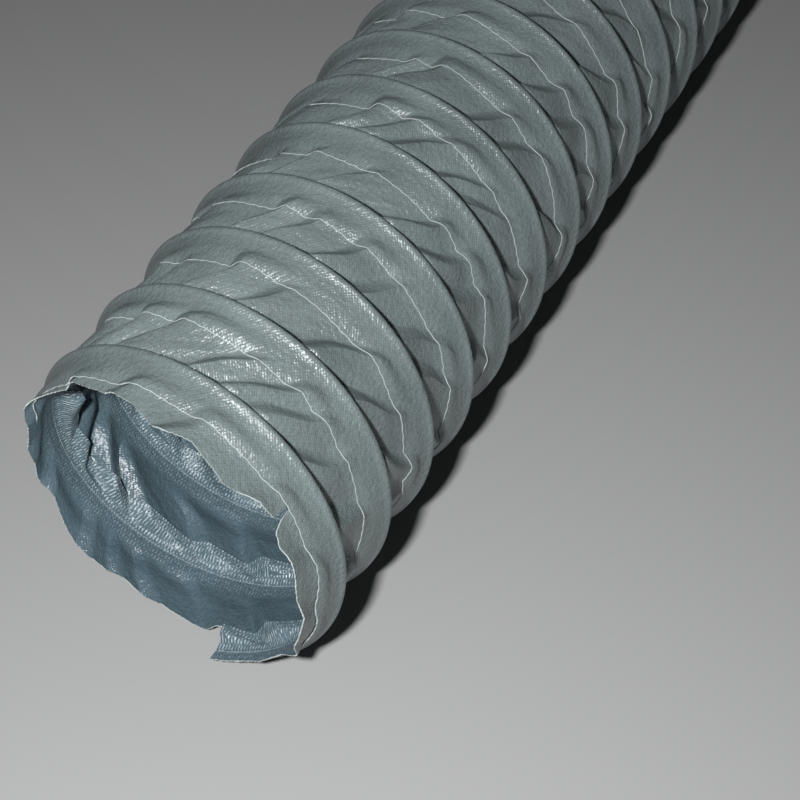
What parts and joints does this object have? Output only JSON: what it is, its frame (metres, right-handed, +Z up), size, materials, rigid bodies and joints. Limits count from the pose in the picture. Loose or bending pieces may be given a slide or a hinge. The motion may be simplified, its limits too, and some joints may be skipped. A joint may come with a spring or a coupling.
{
  "type": "flexible air duct",
  "caption": "Open-ended duct of coated fabric wound over a spring wire. It bends sideways, stretches and packs down between its stiff ribs.",
  "frame": {"origin": "middle of the duct's overall box, on the surface that its ribs rest on", "axes": "+X along the duct, away from the open mouth in the picture; +Z up; the duct winds left-handed about X"},
  "size_m": [0.4219, 0.1092, 0.1087],
  "materials": {
    "outer_fabric": "coated weave, satin",
    "inner_fabric": "coated weave, satin",
    "fold_fabric": "coated weave, satin",
    "spring_wire": "drawn spring steel"
  },
  "bodies": {
    "ring_01": {"outer_ply_01": "outer_fabric", "inner_ply_01": "inner_fabric", "spring_wire_01": "spring_wire", "tail_flap": "inner_fabric"},
    "ring_02": {"outer_ply_02": "outer_fabric", "inner_ply_02": "inner_fabric", "spring_wire_02": "spring_wire"},
    "ring_03": {"outer_ply_03": "outer_fabric", "inner_ply_03": "inner_fabric", "spring_wire_03": "spring_wire"},
    "ring_04": {"outer_ply_04": "outer_fabric", "inner_ply_04": "inner_fabric", "spring_wire_04": "spring_wire"},
    "ring_05": {"outer_ply_05": "outer_fabric", "inner_ply_05": "inner_fabric", "spring_wire_05": "spring_wire"},
    "ring_06": {"outer_ply_06": "outer_fabric", "inner_ply_06": "inner_fabric", "spring_wire_06": "spring_wire"},
    "ring_07": {"outer_ply_07": "outer_fabric", "inner_ply_07": "inner_fabric", "spring_wire_07": "spring_wire"},
    "ring_08": {"outer_ply_08": "outer_fabric", "inner_ply_08": "inner_fabric", "spring_wire_08": "spring_wire"},
    "ring_09": {"outer_ply_09": "outer_fabric", "inner_ply_09": "inner_fabric", "spring_wire_09": "spring_wire"},
    "ring_10": {"outer_ply_10": "outer_fabric", "inner_ply_10": "inner_fabric", "spring_wire_10": "spring_wire"},
    "ring_11": {"outer_ply_11": "outer_fabric", "inner_ply_11": "inner_fabric", "spring_wire_11": "spring_wire"},
    "ring_12": {"outer_ply_12": "outer_fabric", "inner_ply_12": "inner_fabric", "spring_wire_12": "spring_wire"},
    "ring_13": {"outer_ply_13": "outer_fabric", "inner_ply_13": "inner_fabric", "spring_wire_13": "spring_wire"},
    "ring_14": {"outer_ply_14": "outer_fabric", "inner_ply_14": "inner_fabric", "spring_wire_14": "spring_wire", "rear_lip": "fold_fabric"},
    "fold_01": {"folded_web_01": "fold_fabric"},
    "fold_02": {"folded_web_02": "fold_fabric"},
    "fold_03": {"folded_web_03": "fold_fabric"},
    "fold_04": {"folded_web_04": "fold_fabric"},
    "fold_05": {"folded_web_05": "fold_fabric"},
    "fold_06": {"folded_web_06": "fold_fabric"},
    "fold_07": {"folded_web_07": "fold_fabric"},
    "fold_08": {"folded_web_08": "fold_fabric"},
    "fold_09": {"folded_web_09": "fold_fabric"},
    "fold_10": {"folded_web_10": "fold_fabric"},
    "fold_11": {"folded_web_11": "fold_fabric"},
    "fold_12": {"folded_web_12": "fold_fabric"},
    "fold_13": {"folded_web_13": "fold_fabric"}
  },
  "joints": [
    {"name": "bend_01", "type": "hinge", "parent": "ring_01", "child": "fold_01", "pos_m": [-0.17188, 0, 0.0541], "axis": [0, 0, 1], "range_deg": [-5, 5], "deforming": ["folded_web_01"]},
    {"name": "stretch_01", "type": "slide", "parent": "fold_01", "child": "ring_02", "axis": [1, 0, 0], "range_m": [-0.0086, 0.0028], "deforming": ["folded_web_01"]},
    {"name": "bend_02", "type": "hinge", "parent": "ring_02", "child": "fold_02", "pos_m": [-0.14388, 0, 0.0541], "axis": [0, 0, 1], "range_deg": [-5, 5], "deforming": ["folded_web_02"]},
    {"name": "stretch_02", "type": "slide", "parent": "fold_02", "child": "ring_03", "axis": [1, 0, 0], "range_m": [-0.0086, 0.0028], "deforming": ["folded_web_02"]},
    {"name": "bend_03", "type": "hinge", "parent": "ring_03", "child": "fold_03", "pos_m": [-0.11588, 0, 0.0541], "axis": [0, 0, 1], "range_deg": [-5, 5], "deforming": ["folded_web_03"]},
    {"name": "stretch_03", "type": "slide", "parent": "fold_03", "child": "ring_04", "axis": [1, 0, 0], "range_m": [-0.0086, 0.0028], "deforming": ["folded_web_03"]},
    {"name": "bend_04", "type": "hinge", "parent": "ring_04", "child": "fold_04", "pos_m": [-0.08788, 0, 0.0541], "axis": [0, 0, 1], "range_deg": [-5, 5], "deforming": ["folded_web_04"]},
    {"name": "stretch_04", "type": "slide", "parent": "fold_04", "child": "ring_05", "axis": [1, 0, 0], "range_m": [-0.0086, 0.0028], "deforming": ["folded_web_04"]},
    {"name": "bend_05", "type": "hinge", "parent": "ring_05", "child": "fold_05", "pos_m": [-0.05988, 0, 0.0541], "axis": [0, 0, 1], "range_deg": [-5, 5], "deforming": ["folded_web_05"]},
    {"name": "stretch_05", "type": "slide", "parent": "fold_05", "child": "ring_06", "axis": [1, 0, 0], "range_m": [-0.0086, 0.0028], "deforming": ["folded_web_05"]},
    {"name": "bend_06", "type": "hinge", "parent": "ring_06", "child": "fold_06", "pos_m": [-0.03188, 0, 0.0541], "axis": [0, 0, 1], "range_deg": [-5, 5], "deforming": ["folded_web_06"]},
    {"name": "stretch_06", "type": "slide", "parent": "fold_06", "child": "ring_07", "axis": [1, 0, 0], "range_m": [-0.0086, 0.0028], "deforming": ["folded_web_06"]},
    {"name": "bend_07", "type": "hinge", "parent": "ring_07", "child": "fold_07", "pos_m": [-0.00388, 0, 0.0541], "axis": [0, 0, 1], "range_deg": [-5, 5], "deforming": ["folded_web_07"]},
    {"name": "stretch_07", "type": "slide", "parent": "fold_07", "child": "ring_08", "axis": [1, 0, 0], "range_m": [-0.0086, 0.0028], "deforming": ["folded_web_07"]},
    {"name": "bend_08", "type": "hinge", "parent": "ring_08", "child": "fold_08", "pos_m": [0.02412, 0, 0.0541], "axis": [0, 0, 1], "range_deg": [-5, 5], "deforming": ["folded_web_08"]},
    {"name": "stretch_08", "type": "slide", "parent": "fold_08", "child": "ring_09", "axis": [1, 0, 0], "range_m": [-0.0086, 0.0028], "deforming": ["folded_web_08"]},
    {"name": "bend_09", "type": "hinge", "parent": "ring_09", "child": "fold_09", "pos_m": [0.05212, 0, 0.0541], "axis": [0, 0, 1], "range_deg": [-5, 5], "deforming": ["folded_web_09"]},
    {"name": "stretch_09", "type": "slide", "parent": "fold_09", "child": "ring_10", "axis": [1, 0, 0], "range_m": [-0.0086, 0.0028], "deforming": ["folded_web_09"]},
    {"name": "bend_10", "type": "hinge", "parent": "ring_10", "child": "fold_10", "pos_m": [0.08012, 0, 0.0541], "axis": [0, 0, 1], "range_deg": [-5, 5], "deforming": ["folded_web_10"]},
    {"name": "stretch_10", "type": "slide", "parent": "fold_10", "child": "ring_11", "axis": [1, 0, 0], "range_m": [-0.0086, 0.0028], "deforming": ["folded_web_10"]},
    {"name": "bend_11", "type": "hinge", "parent": "ring_11", "child": "fold_11", "pos_m": [0.10812, 0, 0.0541], "axis": [0, 0, 1], "range_deg": [-5, 5], "deforming": ["folded_web_11"]},
    {"name": "stretch_11", "type": "slide", "parent": "fold_11", "child": "ring_12", "axis": [1, 0, 0], "range_m": [-0.0086, 0.0028], "deforming": ["folded_web_11"]},
    {"name": "bend_12", "type": "hinge", "parent": "ring_12", "child": "fold_12", "pos_m": [0.13612, 0, 0.0541], "axis": [0, 0, 1], "range_deg": [-5, 5], "deforming": ["folded_web_12"]},
    {"name": "stretch_12", "type": "slide", "parent": "fold_12", "child": "ring_13", "axis": [1, 0, 0], "range_m": [-0.0086, 0.0028], "deforming": ["folded_web_12"]},
    {"name": "bend_13", "type": "hinge", "parent": "ring_13", "child": "fold_13", "pos_m": [0.16412, 0, 0.0541], "axis": [0, 0, 1], "range_deg": [-5, 5], "deforming": ["folded_web_13"]},
    {"name": "stretch_13", "type": "slide", "parent": "fold_13", "child": "ring_14", "axis": [1, 0, 0], "range_m": [-0.0086, 0.0028], "deforming": ["folded_web_13"]}
  ],
  "couplings": [
    {"joint": "bend_02", "follows": "bend_01", "ratio": 1},
    {"joint": "stretch_02", "follows": "stretch_01", "ratio": 1},
    {"joint": "bend_03", "follows": "bend_01", "ratio": 1},
    {"joint": "stretch_03", "follows": "stretch_01", "ratio": 1},
    {"joint": "bend_04", "follows": "bend_01", "ratio": 1},
    {"joint": "stretch_04", "follows": "stretch_01", "ratio": 1},
    {"joint": "bend_05", "follows": "bend_01", "ratio": 1},
    {"joint": "stretch_05", "follows": "stretch_01", "ratio": 1},
    {"joint": "bend_06", "follows": "bend_01", "ratio": 1},
    {"joint": "stretch_06", "follows": "stretch_01", "ratio": 1},
    {"joint": "bend_07", "follows": "bend_01", "ratio": 1},
    {"joint": "stretch_07", "follows": "stretch_01", "ratio": 1},
    {"joint": "bend_08", "follows": "bend_01", "ratio": 1},
    {"joint": "stretch_08", "follows": "stretch_01", "ratio": 1},
    {"joint": "bend_09", "follows": "bend_01", "ratio": 1},
    {"joint": "stretch_09", "follows": "stretch_01", "ratio": 1},
    {"joint": "bend_10", "follows": "bend_01", "ratio": 1},
    {"joint": "stretch_10", "follows": "stretch_01", "ratio": 1},
    {"joint": "bend_11", "follows": "bend_01", "ratio": 1},
    {"joint": "stretch_11", "follows": "stretch_01", "ratio": 1},
    {"joint": "bend_12", "follows": "bend_01", "ratio": 1},
    {"joint": "stretch_12", "follows": "stretch_01", "ratio": 1},
    {"joint": "bend_13", "follows": "bend_01", "ratio": 1},
    {"joint": "stretch_13", "follows": "stretch_01", "ratio": 1}
  ]
}
